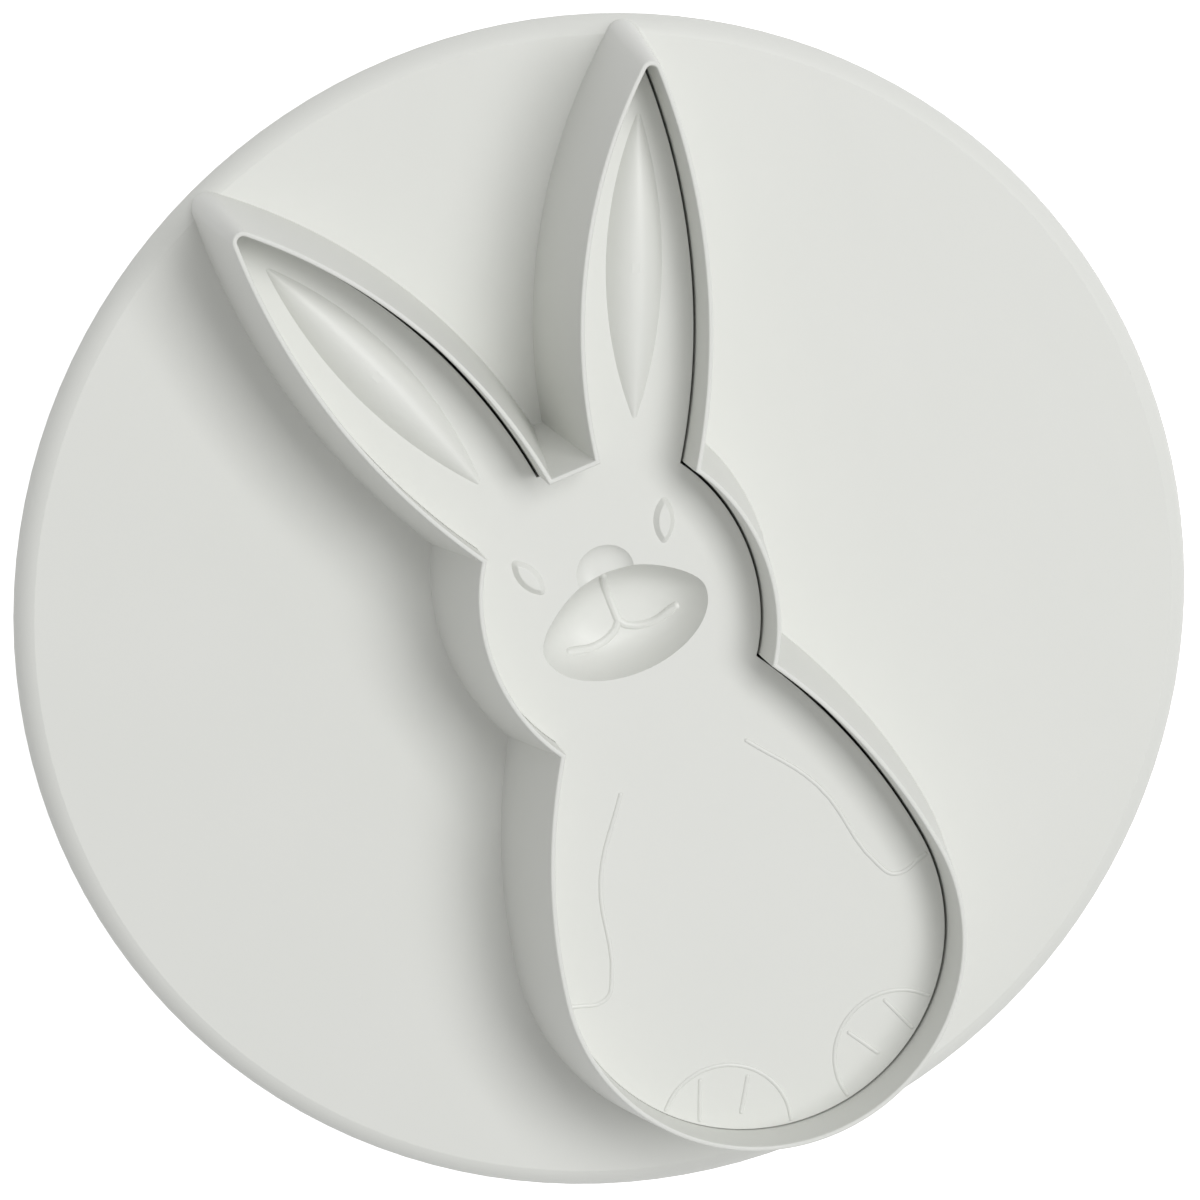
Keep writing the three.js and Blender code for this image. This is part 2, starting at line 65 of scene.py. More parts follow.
# Shares of the wall's growth beyond its edge width: of an ear's sides at the tip, and of the tip's radius
EAR_TIP_DRAFT = 0.64
EAR_TIP_ROUNDING = 0.28
LEAST_TIP_RADIUS = 0.2 * MM
HEAD_CENTRE_Y = 2.2 * MM
HEAD_HALF_WIDTH = 10.65 * MM
HEAD_HALF_HEIGHT = 12.65 * MM
HEAD_FLAT_DEPTH = 1.4 * MM
BODY_BOTTOM_Y = -25.6 * MM
BODY_BOTTOM_RADIUS = 15.05 * MM
BODY_SIDE_Y = -30.0 * MM
BODY_SIDE_RADIUS = 45.25 * MM

# Steps along each stretch of the outline, from the bottom to the top of one half
BOTTOM_STEPS = 48
SIDE_STEPS = 40
HEAD_STEPS = 32
EAR_STEPS = 48
TIP_STEPS = 12
FLAT_STEPS = 4

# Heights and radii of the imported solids
flange_low, flange_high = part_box("flange_disc")
FLANGE_RADIUS = flange_high.x
BACK_Z = flange_low.z
FRONT_Z = flange_high.z
EDGE_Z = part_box("cutting_wall")[1].z
guide_low, guide_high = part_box("guide_tube")
GUIDE_RADIUS = guide_high.x
GUIDE_END_Z = guide_low.z
plate_low, plate_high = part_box("embossing_plate")
stem_low, stem_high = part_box("plunger_stem")
knob_low, knob_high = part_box("push_knob")
screw_low, screw_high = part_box("knob_screw")

# Cutter moulding
EDGE_WIDTH = 0.35 * MM
WALL_DRAFT = 1.8 * MM
EDGE_ROUNDING = 0.13 * MM
WALL_ROOT = 0.8 * MM
# Arc of the flange's front edge, between two angles in degrees above the level
FLANGE_FRONT_ROUNDING = 1.95 * MM
FLANGE_FRONT_SPAN = (12, 76)
FLANGE_BACK_ROUNDING = 0.5 * MM
GUIDE_ROOT_FILLET = 0.5 * MM
SMALL_CHAMFER = 0.3 * MM
SLIDE_CLEARANCE = 0.25 * MM
SEAT_GAP = 0.3 * MM

# Embossed plate
# Gap round the plate, which leans to one side of the wall within it
PLATE_CLEARANCE = 0.11 * MM
PLATE_PLAY = Vector((-0.105, 0, 0)) * MM
PLATE_EDGE_ROUNDING = 0.03 * MM
PLATE_SKIN = 4.2 * MM
PLATE_SKIRT = 1.4 * MM
PLATE_BOSS_WALL = 2.4 * MM
LEAF_HEIGHT = 1.0 * MM
PLATE_FACE_Z = plate_high.z - LEAF_HEIGHT
PLATE_UNDER_Z = PLATE_FACE_Z - PLATE_SKIN

# Relief on the plate
# Ear leaf and eye: lower tip, upper tip, outer bulge, inner bulge, radius of the ends
EAR_LEAF = (Vector((6.1, 14.25)) * MM, Vector((14.9, 35.75)) * MM, 1.9 * MM, 2.3 * MM, 0.2 * MM)
# Insets of the leaf's rings
LEAF_INSETS = [inset * MM for inset in (0, 0.15, 0.35, 0.6, 0.9, 1.2, 1.5, 1.8)]
RELIEF_ROOT = 0.4 * MM
TIP_SHARPENING = 0.9
EYE = (Vector((4.8, 4.9)) * MM, Vector((6.15, 8.35)) * MM, 0.8 * MM, 0.8 * MM, 0.3 * MM)
# (inset, rise) up the eye's side
EYE_LEVELS = [(inset * MM, rise * MM) for inset, rise in ((0, 0), (0.36, 0.37), (0.42, 0.39))]
# Bowls of the muzzle and the nose
MUZZLE_Y = 0.7 * MM
MUZZLE_HALF = Vector((6.55, 4.05)) * MM
MUZZLE_DEPTH = 3.1 * MM
CHEEK_FALL = 0.3
NOSE_Y = 4.8 * MM
NOSE_HALF = Vector((2.2, 1.95)) * MM
NOSE_DEPTH = 0.6 * MM
DISH_REACH = 1.04
DISH_POWER = 4
# Raised lines, whose axis lies a share of their radius below the surface
LINE_RADIUS = 0.2 * MM
RIDGE_SINK = 0.45
MOUTH_X = -0.15 * MM
MOUTH_FORK_Y = 0.2 * MM
SMILE_RADIUS = 0.36 * MM
# The mouth's upright: height on the plate, depth of its crest below the face, radius
MOUTH_STROKE = [
    (5.0 * MM, 0.72 * MM, 0.25 * MM),
    (4.4 * MM, 0.9 * MM, 0.27 * MM),
    (4.0 * MM, 1.5 * MM, 0.3 * MM),
    (3.4 * MM, 2.24 * MM, 0.34 * MM),
    (2.6 * MM, 2.74 * MM, 0.36 * MM),
    (1.6 * MM, 2.89 * MM, 0.37 * MM),
    (MOUTH_FORK_Y, 2.89 * MM, SMILE_RADIUS),
]
MOUTH_CURL = Vector((0.55, -0.4)) * MM
MOUTH_DIP = Vector((2.3, -0.88)) * MM
MOUTH_END = Vector((4.38, -0.36)) * MM
ARM_LINE = [
    Vector((5.15, -11.4)) * MM,
    Vector((8.9, -16.8)) * MM,
    Vector((10.95, -24.3)) * MM,
    Vector((11.9, -25.55)) * MM,
    Vector((14.6, -25.05)) * MM,
]
FOOT_CENTRE = Vector((7.15, -38.75)) * MM
FOOT_RADIUS = 5.0 * MM
FOOT_MARGIN = 0.3 * MM
FOOT_STEPS = 12
INNER_TOE = [Vector((-2.95, 3.15)) * MM, Vector((-1.5, 0.8)) * MM]
OUTER_TOE = [Vector((0.5, 4.35)) * MM, Vector((1.65, 1.55)) * MM]

# Spring, knob and screw
SPRING_WIRE_RADIUS = 0.6 * MM
SPRING_GAP = 0.05 * MM
SPRING_GRIND = 0.25 * MM
SPRING_CLOSED_PITCH = 1.3 * MM
SPRING_CLOSED_TURNS = 1
SPRING_OPEN_TURNS = 4.5
SPRING_STEPS_PER_TURN = 40
SPRING_SIDES = 14
KNOB_CUP_RADIUS = 11.2 * MM
KNOB_CUP_DEPTH = 5.0 * MM
KNOB_FOOT_ROUNDING = 3.0 * MM
KNOB_RIM_ROUNDING = 1.5 * MM
KNOB_CUP_FILLET = 0.5 * MM
SCREW_RADIUS = 1.5 * MM
SCREW_HEAD_HEIGHT = 1.9 * MM
SCREW_HEAD_ROUNDING = 0.7 * MM
SCREW_SLOT_LENGTH = 4.2 * MM
SCREW_SLOT_WIDTH = 0.8 * MM
SCREW_SLOT_DEPTH = 1.1 * MM
SCREW_SLOT_TAPER = 0.6

# Steps round turned pieces, dishes and roundings
TURN_STEPS = 128
DISH_SEGMENTS = 96
DISH_RINGS = 24
FILLET_STEPS = 6
SCREW_HEAD_STEPS = 8
KNOB_RIM_STEPS = 10
WIDE_ROUNDING_STEPS = 12
WALL_STEPS = 10
# Facets of the raised lines: round a line, along it, and round and down the balls at its ends
LINE_ROUND_STEPS = 4
LINE_STEPS = 6
BALL_SEGMENTS = 16
BALL_RINGS = 10
# Angle past which an edge is sharp, and upright share of a normal from which a face is level
SHARP_ANGLE = math.radians(24)
LEVEL = 0.99999
# Points closer than this are merged, and edges shorter than this are dissolved
MERGE_DISTANCE = 0.0005 * MM
SHORTEST_EDGE = 0.0002 * MM
# How close a ring's points lie to it, steps of a search, and where the search for the ear's root ends
NEAR = 0.001 * MM
HALVINGS = 40
HEAD_END_LIMIT = math.radians(75)
# Vertex layer that holds a vertex's place along its outline
STATION = "station"

# Curves in the plane


def spread(start, end, count):
    """Even values from start to end, both included."""
    return [start + (end - start) * i / count for i in range(count + 1)]


def on_circle(centre, radius, angle):
    return centre + radius * Vector((math.cos(angle), math.sin(angle)))


def arc(centre, radius, start, end, count):
    return [on_circle(centre, radius, angle) for angle in spread(start, end, count)]


def bearing(centre, point):
    return math.atan2(point.y - centre.y, point.x - centre.x)


def bulged_circle(start, end, bulge):
    """The circle whose arc from start to end bulges to the right, or to the left for a negative bulge."""
    chord = end - start
    half = chord.length / 2
    radius = (half ** 2 + bulge ** 2) / (2 * abs(bulge))
    right = Vector((chord.y, -chord.x)).normalized() * math.copysign(1, bulge)
    return (start + end) / 2 + right * (abs(bulge) - radius), radius


def grown_circle(start, end, bulge, start_grow, end_grow):
    """Such a circle with its arc moved outwards by one distance at the start and another at the end."""
    centre, radius = bulged_circle(start, end, bulge)
    moved_start = centre.lerp(start, 1 + start_grow / radius)
    moved_end = centre.lerp(end, 1 + end_grow / radius)
    return bulged_circle(moved_start, moved_end, bulge * (1 + start_grow / radius))


def circle_crossings(first, first_radius, second, second_radius):
    """Both points where two circles cross, first the one to the left of the way between their centres."""
    apart = (second - first).length
    way = (second - first).normalized()
    reach = (first_radius ** 2 - second_radius ** 2 + apart ** 2) / (2 * apart)
    aside = math.sqrt(first_radius ** 2 - reach ** 2)
    foot = first + way * reach
    left = Vector((-way.y, way.x)) * aside
    return foot + left, foot - left


def zero_between(low, high, value):
    """The argument between low and high at which a falling value passes zero."""
    for _ in range(HALVINGS):
        middle = (low + high) / 2
        if value(middle) > 0:
            low = middle
        else:
            high = middle
    return (low + high) / 2


def rounding(radius, z, size, start, end, count=FILLET_STEPS):
    """Profile points of a rounded corner about (radius, z), between two angles in degrees."""
    return arc(Vector((radius, z)), size, math.radians(start), math.radians(end), count)


def leaf_outline(root, tip, outer_bulge, inner_bulge, end_radius, grow):
    """A leaf of two arcs with rounded ends, grown by an even distance."""
    outer, outer_radius = grown_circle(root, tip, outer_bulge, grow, grow)
    inner, inner_radius = grown_circle(root, tip, -inner_bulge, grow, grow)
    ends = circle_crossings(outer, outer_radius - end_radius, inner, inner_radius - end_radius)
    upper, lower = ends
    outer_span = bearing(outer, lower), bearing(outer, upper)
    inner_span = bearing(inner, upper), bearing(inner, lower) % math.tau
    return (
        arc(outer, outer_radius, *outer_span, EAR_STEPS)[:-1]
        + arc(upper, end_radius, outer_span[1], inner_span[0], TIP_STEPS)[:-1]
        + arc(inner, inner_radius, *inner_span, EAR_STEPS)[:-1]
        + arc(lower, end_radius, inner_span[1], outer_span[0] + math.tau, TIP_STEPS)[:-1]
    )


def half_outline(grow):
    """The right half of the rabbit, from its bottom to the notch, grown by an even distance."""
    rise = BODY_BOTTOM_Y - BODY_SIDE_Y
    side_x = math.sqrt((BODY_SIDE_RADIUS - BODY_BOTTOM_RADIUS) ** 2 - rise ** 2)
    meet = math.atan2(rise, side_x)
    bottom = Vector((0, BODY_BOTTOM_Y))
    side = Vector((-side_x, BODY_SIDE_Y))
    side_radius = BODY_SIDE_RADIUS + grow
    head_width = HEAD_HALF_WIDTH + grow
    head_height = HEAD_HALF_HEIGHT + grow
    beyond = max(grow - EDGE_WIDTH, 0)
    tip_grow = grow - beyond + EAR_TIP_DRAFT * beyond
    tip_radius = max(EAR_TIP_RADIUS + grow - beyond + EAR_TIP_ROUNDING * beyond, LEAST_TIP_RADIUS)
    outer, outer_radius = grown_circle(EAR_ROOT, EAR_TIP, EAR_OUTER_BULGE, grow, tip_grow)
    inner, inner_radius = grown_circle(EAR_ROOT, EAR_TIP, -EAR_INNER_BULGE, grow, tip_grow)
    tip = circle_crossings(outer, outer_radius - tip_radius, inner, inner_radius - tip_radius)[0]

    def on_head(angle):
        return Vector((head_width * math.cos(angle), HEAD_CENTRE_Y + head_height * math.sin(angle)))

    def outside_head(angle):
        point = on_circle(side, side_radius, angle)
        return math.hypot(point.x / head_width, (point.y - HEAD_CENTRE_Y) / head_height) - 1

    def outside_ear(angle):
        return (on_head(angle) - outer).length - outer_radius

    neck = zero_between(meet, math.acos(side_x / side_radius), outside_head)
    neck_point = on_circle(side, side_radius, neck)
    head_start = math.atan2((neck_point.y - HEAD_CENTRE_Y) / head_height, neck_point.x / head_width)
    head_end = zero_between(head_start, HEAD_END_LIMIT, outside_ear)
    flat_y = HEAD_CENTRE_Y + head_height - HEAD_FLAT_DEPTH
    notch_on_flat = math.pi - math.asin((flat_y - inner.y) / inner_radius)
    notch_on_axis = math.acos(max(-inner.x / inner_radius, -1))
    notch = min(notch_on_flat, notch_on_axis)
    notch_point = on_circle(inner, inner_radius, notch)
    top = Vector((0, notch_point.y))
    tip_span = bearing(outer, tip), bearing(inner, tip)
    return (
        arc(bottom, BODY_BOTTOM_RADIUS + grow, -math.pi / 2, meet, BOTTOM_STEPS)[:-1]
        + arc(side, side_radius, meet, neck, SIDE_STEPS)[:-1]
        + [on_head(angle) for angle in spread(head_start, head_end, HEAD_STEPS)][:-1]
        + arc(outer, outer_radius, bearing(outer, on_head(head_end)), tip_span[0], EAR_STEPS)[:-1]
        + arc(tip, tip_radius, *tip_span, TIP_STEPS)[:-1]
        + arc(inner, inner_radius, tip_span[1], notch, EAR_STEPS)[:-1]
        + [notch_point.lerp(top, share) for share in spread(0, 1, FLAT_STEPS)]
    )


def rabbit_outline(grow):
    right = half_outline(grow)
    return right + [Vector((-point.x, point.y)) for point in reversed(right[1:-1])]


# Meshes


def new_mesh():
    mesh = bmesh.new()
    mesh.verts.layers.int.new(STATION)
    return mesh


def first_loop(mesh, outline, z):
    """A closed loop of edges on an outline; returns its edges."""
    ring = bmesh.ops.create_circle(mesh, segments=len(outline), radius=MM)["verts"]
    station = mesh.verts.layers.int[STATION]
    for place, (vert, point) in enumerate(zip(ring, outline)):
        vert[station] = place
        vert.co = (point.x, point.y, z)
    members = set(ring)
    return [edge for edge in mesh.edges if edge.verts[0] in members]


def next_loop(mesh, edges, outline, z):
    """Extrudes a loop of edges on to another outline; returns the new edges."""
    made = bmesh.ops.extrude_edge_only(mesh, edges=edges)["geom"]
    station = mesh.verts.layers.int[STATION]
    for vert in made:
        if isinstance(vert, bmesh.types.BMVert):
            point = outline[vert[station]]
            vert.co = (point.x, point.y, z)
    return [edge for edge in made if isinstance(edge, bmesh.types.BMEdge)]


def skin(mesh, outline_at, levels):
    """A skin through outlines at a list of (growth, height); returns its first and last loop."""
    first = last = first_loop(mesh, outline_at(levels[0][0]), levels[0][1])
    for grow, z in levels[1:]:
        last = next_loop(mesh, last, outline_at(grow), z)
    return first, last


def fill(mesh, edges):
    bmesh.ops.triangle_fill(mesh, edges=edges, use_beauty=True)


def turn(mesh, profile):
    """Spins a profile of (radius, height) round the axis of the stem."""
    verts = [mesh.verts.new((radius, 0, z)) for radius, z in profile]
    edges = [mesh.edges.new(pair) for pair in zip(verts, verts[1:])]
    bmesh.ops.spin(
        mesh, geom=verts + edges, cent=(0, 0, 0), axis=(0, 0, 1),
        angle=math.tau, steps=TURN_STEPS, use_merge=True,
    )


def open_ring(mesh, radius, z):
    """The open edges of a turned skin at a radius and height."""
    return [
        edge for edge in mesh.edges
        if edge.is_boundary and all(
            abs(vert.co.z - z) < NEAR and abs(vert.co.xy.length - radius) < NEAR for vert in edge.verts
        )
    ]


def close_holes(mesh):
    open_edges = [edge for edge in mesh.edges if edge.is_boundary]
    bmesh.ops.holes_fill(mesh, edges=open_edges, sides=0)


def clean(mesh):
    bmesh.ops.remove_doubles(mesh, verts=mesh.verts[:], dist=MERGE_DISTANCE)
    bmesh.ops.dissolve_degenerate(mesh, edges=mesh.edges[:], dist=SHORTEST_EDGE)
    bmesh.ops.recalc_face_normals(mesh, faces=mesh.faces[:])


def is_level(face):
    return abs(face.normal.z) > LEVEL


def shade(mesh):
    """Smooth faces, with sharp edges at corners and round every level flat."""
    mesh.normal_update()
    for face in mesh.faces:
        face.smooth = True
    for edge in mesh.edges:
        if len(edge.link_faces) == 2:
            one, other = edge.link_faces
            corner = edge.calc_face_angle(0) > SHARP_ANGLE
            edge.smooth = not (corner or is_level(one) != is_level(other))


def to_object(mesh, name):
    data = bpy.data.meshes.new(name)
    mesh.to_mesh(data)
    mesh.free()
    made = bpy.data.objects.new(name, data)
    bpy.context.scene.collection.objects.link(made)
    return made


def combine(mesh, tool, operation, crossing=False):
    """Joins or cuts a mesh with a tool mesh, whose own parts may be crossing, and returns the result."""
    blank = to_object(mesh, "blank")
    cutter = to_object(tool, "tool")
    change = blank.modifiers.new("change", "BOOLEAN")
    change.object = cutter
    change.operation = operation
    change.solver = "EXACT"
    change.use_self = crossing
    result = bmesh.new()
    result.from_object(blank, bpy.context.evaluated_depsgraph_get())
    for used in (blank, cutter):
        data = used.data
        bpy.data.objects.remove(used)
        bpy.data.meshes.remove(data)
    return result


def finished(mesh, name, material):
    clean(mesh)
    shade(mesh)
    made = to_object(mesh, name)
    made.data.materials.append(material)
    return made


# Cutter moulding


def wall_profile():
    """(growth, height) up the wall's drafted outside, over its edge and down its upright inside."""
    slope = WALL_DRAFT / (EDGE_Z - FRONT_Z)
    lean = math.atan(slope)
    root_z = FRONT_Z - WALL_ROOT
    edge_z = EDGE_Z - EDGE_ROUNDING
    edge_grow = EDGE_WIDTH + slope * EDGE_ROUNDING - EDGE_ROUNDING / math.cos(lean)
    outer_edge = rounding(edge_grow, edge_z, EDGE_ROUNDING, math.degrees(lean), 90)
    inner_edge = rounding(EDGE_ROUNDING, edge_z, EDGE_ROUNDING, 90, 180)
    foot = Vector((EDGE_WIDTH + WALL_DRAFT, FRONT_Z))
    draft = [foot.lerp(outer_edge[0], share) for share in spread(0, 1, WALL_STEPS)][:-1]
    return [Vector((foot.x, root_z))] + draft + outer_edge + inner_edge + [Vector((0, root_z))]


def wall_ring():
    mesh = new_mesh()
    foot, floor = skin(mesh, rabbit_outline, [tuple(point) for point in wall_profile()])
    bmesh.ops.bridge_loops(mesh, edges=foot + floor)
    clean(mesh)
    return mesh


def cutter_moulding():
    mesh = bmesh.new()
    bore = stem_high.x + SLIDE_CLEARANCE
    outer_angle, face_angle = [math.radians(angle) for angle in FLANGE_FRONT_SPAN]
    front_edge = FLANGE_RADIUS - FLANGE_FRONT_ROUNDING * math.cos(outer_angle)
    front_z = FRONT_Z - FLANGE_FRONT_ROUNDING * math.sin(face_angle)
    back_edge = FLANGE_RADIUS - FLANGE_BACK_ROUNDING
    root = GUIDE_RADIUS + GUIDE_ROOT_FILLET
    turn(mesh, [
        Vector((bore + SMALL_CHAMFER, FRONT_Z)),
        Vector((bore, FRONT_Z - SMALL_CHAMFER)),
        Vector((bore, GUIDE_END_Z + SMALL_CHAMFER)),
        Vector((bore + SMALL_CHAMFER, GUIDE_END_Z)),
        *rounding(GUIDE_RADIUS - SMALL_CHAMFER, GUIDE_END_Z + SMALL_CHAMFER, SMALL_CHAMFER, -90, 0),
        *rounding(root, BACK_Z - GUIDE_ROOT_FILLET, GUIDE_ROOT_FILLET, 180, 90),
        *rounding(back_edge, BACK_Z + FLANGE_BACK_ROUNDING, FLANGE_BACK_ROUNDING, -90, 0),
        *rounding(front_edge, front_z, FLANGE_FRONT_ROUNDING, *FLANGE_FRONT_SPAN, WIDE_ROUNDING_STEPS),
        Vector((bore + SMALL_CHAMFER, FRONT_Z)),
    ])
    clean(mesh)
    return combine(mesh, wall_ring(), "UNION")


# Embossed plate


def rim_share(x, half, fall):
    """How far a dish's upper rim is pulled down at its sides, as a share of its height."""
    return 1 - fall * min(abs(x) / half.x, 1) ** 2


def dish_z(share, depth):
    """Height of a dish's floor, which rises with a power of the way to the rim."""
    return PLATE_FACE_Z - depth * (1 - share ** DISH_POWER)


def dish(y, half, depth, fall):
    """A bowl to be cut from the plate's face."""
    def outline_at(share):
        points = []
        for angle in spread(0, math.tau, DISH_SEGMENTS)[:-1]:
            x = share * half.x * math.cos(angle)
            height = share * half.y * math.sin(angle)
            points.append(Vector((x, y + height * (rim_share(x, half, fall) if height > 0 else 1))))
        return points

    mesh = new_mesh()
    shares = spread(0, DISH_REACH, DISH_RINGS)[1:]
    middle, rim = skin(mesh, outline_at, [(share, dish_z(share, depth)) for share in shares])
    fill(mesh, middle)
    fill(mesh, rim)
    clean(mesh)
    return mesh


def muzzle_floor(point):
    """Height of the muzzle's floor at a point, or of the face beside it."""
    along = (point.y - MUZZLE_Y) / MUZZLE_HALF.y
    if along > 0:
        along /= rim_share(point.x, MUZZLE_HALF, CHEEK_FALL)
    return dish_z(min(math.hypot(point.x / MUZZLE_HALF.x, along), 1), MUZZLE_DEPTH)


def mirrored(points):
    return [Vector((-point.x, point.y)) for point in points]


def raised_shape(mesh, outline_at, levels, side):
    """A closed raised form through inset outlines, on the right or, for a side of -1, on the left."""
    def sided(inset):
        outline = outline_at(inset)
        return outline if side > 0 else mirrored(reversed(outline))

    lower, upper = skin(mesh, sided, levels)
    fill(mesh, lower)
    fill(mesh, upper)


def raised_leaf(mesh, side, leaf, levels):
    """A raised leaf through outlines at a list of (inset, rise above the face)."""
    *arcs, end_radius = leaf
    deepest = levels[-1][0]

    def outline_at(inset):
        return leaf_outline(*arcs, end_radius * (1 - TIP_SHARPENING * inset / deepest), -inset)

    root = (0, PLATE_FACE_Z - RELIEF_ROOT)
    raised_shape(mesh, outline_at, [root] + [(inset, PLATE_FACE_Z + rise) for inset, rise in levels], side)


def leaf_rise(point):
    """Height of an ear leaf's round vault above the face, in step with the leaf's width there."""
    lower, upper, outer_bulge, inner_bulge, _ = EAR_LEAF
    way = (upper - lower).normalized()
    half = (upper - lower).length / 2
    place = point - (lower + upper) / 2
    along = place.dot(way)
    aside = place.x * way.y - place.y * way.x

    def reach(bulge):
        radius = (half ** 2 + bulge ** 2) / (2 * bulge)
        return math.sqrt(radius ** 2 - along ** 2) - radius + bulge

    outer, inner = reach(outer_bulge), reach(inner_bulge)
    if outer + inner <= 0:
        return 0
    room = max((outer - aside) * (inner + aside), 0)
    return LEAF_HEIGHT * 4 * room / ((outer + inner) * (outer_bulge + inner_bulge))


def ear_leaves():
    mesh = new_mesh()
    for side in (1, -1):
        raised_leaf(mesh, side, EAR_LEAF, [(inset, 0) for inset in LEAF_INSETS])
    for vert in mesh.verts:
        if vert.co.z > PLATE_FACE_Z - RELIEF_ROOT / 2:
            vert.co.z = PLATE_FACE_Z + leaf_rise(Vector((abs(vert.co.x), vert.co.y)))
    return mesh


def foot_line():
    """The arc over a foot, ended just short of the plate's edge."""
    body = Vector((0, BODY_BOTTOM_Y))
    reach = BODY_BOTTOM_RADIUS - PLATE_CLEARANCE - FOOT_MARGIN
    inner_end, outer_end = circle_crossings(body, reach, FOOT_CENTRE, FOOT_RADIUS)[::-1]
    start = bearing(FOOT_CENTRE, outer_end)
    end = bearing(FOOT_CENTRE, inner_end) % math.tau
    return arc(FOOT_CENTRE, FOOT_RADIUS, start, end, FOOT_STEPS)


def raised_lines(ridges):
    """Round ridges with rounded ends along smooth paths, each a list of (radius, place in space)."""
    curve = bpy.data.curves.new("raised_lines", "CURVE")
    curve.dimensions = "3D"
    curve.bevel_depth = 1
    curve.bevel_resolution = LINE_ROUND_STEPS
    curve.use_fill_caps = True
    curve.resolution_u = LINE_STEPS
    for path in ridges:
        spline = curve.splines.new("BEZIER")
        spline.bezier_points.add(len(path) - 1)
        for knot, (radius, place) in zip(spline.bezier_points, path):
            knot.co = place
            knot.radius = radius
            knot.handle_left_type = knot.handle_right_type = "AUTO"
    line = bpy.data.objects.new("raised_lines", curve)
    bpy.context.scene.collection.objects.link(line)
    data = bpy.data.meshes.new_from_object(line.evaluated_get(bpy.context.evaluated_depsgraph_get()))
    mesh = bmesh.new()
    mesh.from_mesh(data)
    bpy.data.objects.remove(line)
    bpy.data.curves.remove(curve)
    bpy.data.meshes.remove(data)
    bmesh.ops.remove_doubles(mesh, verts=mesh.verts[:], dist=MERGE_DISTANCE)
    for path in ridges:
        for radius, place in (path[0], path[-1]):
            bmesh.ops.create_uvsphere(
                mesh, u_segments=BALL_SEGMENTS, v_segments=BALL_RINGS, radius=radius,
                matrix=Matrix.Translation(place),
            )
    return mesh


def ridge(points, radius, floor):
    """Knots of a ridge whose axis lies a share of its radius below the floor under it."""
    return [(radius, Vector((*point, floor(point) - RIDGE_SINK * radius))) for point in points]


def face_height(_):
    return PLATE_FACE_Z


def line_ridges():
    right = [ARM_LINE, foot_line()]
    right += [[FOOT_CENTRE + point for point in toe] for toe in (INNER_TOE, OUTER_TOE)]
    lines = [points for path in right for points in (path, mirrored(path))]
    ridges = [ridge(points, LINE_RADIUS, face_height) for points in lines]
    middle = Vector((MOUTH_X, 0))
    smile = [Vector((0, MOUTH_FORK_Y)), MOUTH_CURL, MOUTH_DIP, MOUTH_END]
    for side in (smile, mirrored(smile)):
        ridges.append(ridge([middle + point for point in side], SMILE_RADIUS, muzzle_floor))
    ridges.append([
        (radius, Vector((MOUTH_X, y, PLATE_FACE_Z - depth - radius))) for y, depth, radius in MOUTH_STROKE
    ])
    return ridges


def embossed_plate():
    mesh = new_mesh()
    inside = -PLATE_CLEARANCE - PLATE_SKIRT
    bottom = plate_low.z
    edge_grow = -PLATE_CLEARANCE - PLATE_EDGE_ROUNDING
    edge_z = PLATE_FACE_Z - PLATE_EDGE_ROUNDING
    levels = [(inside, PLATE_UNDER_Z), (inside, bottom), (-PLATE_CLEARANCE, bottom)]
    levels += [tuple(point) for point in rounding(edge_grow, edge_z, PLATE_EDGE_ROUNDING, 0, 90)]
    under_rim, face_rim = skin(mesh, rabbit_outline, levels)
    socket = stem_high.x + SEAT_GAP
    boss = socket + PLATE_BOSS_WALL
    turn(mesh, [
        Vector((boss, PLATE_UNDER_Z)), Vector((boss, bottom)),
        Vector((socket, bottom)), Vector((socket, PLATE_UNDER_Z)),
    ])
    fill(mesh, face_rim)
    fill(mesh, under_rim + open_ring(mesh, boss, PLATE_UNDER_Z))
    fill(mesh, open_ring(mesh, socket, PLATE_UNDER_Z))
    clean(mesh)
    mesh = combine(mesh, dish(MUZZLE_Y, MUZZLE_HALF, MUZZLE_DEPTH, CHEEK_FALL), "DIFFERENCE")
    mesh = combine(mesh, dish(NOSE_Y, NOSE_HALF, NOSE_DEPTH, 0), "DIFFERENCE")
    relief = ear_leaves()
    for side in (1, -1):
        raised_leaf(relief, side, EYE, EYE_LEVELS)
    clean(relief)
    mesh = combine(mesh, relief, "UNION")
    mesh = combine(mesh, raised_lines(line_ridges()), "UNION", crossing=True)
    bmesh.ops.translate(mesh, vec=PLATE_PLAY, verts=mesh.verts[:])
    return mesh


# Stem, knob, screw and spring


def turned_stem():
    mesh = bmesh.new()
    radius = stem_high.x
    pilot = SCREW_RADIUS + SEAT_GAP
    pilot_top = screw_high.z + SEAT_GAP
    turn(mesh, [
        Vector((0, pilot_top)),
        Vector((pilot, pilot_top)),
        Vector((pilot, stem_low.z)),
        Vector((radius - SMALL_CHAMFER, stem_low.z)),
        Vector((radius, stem_low.z + SMALL_CHAMFER)),
        Vector((radius, stem_high.z - SMALL_CHAMFER)),
        Vector((radius - SMALL_CHAMFER, stem_high.z)),
        Vector((0, stem_high.z)),
    ])
    return mesh


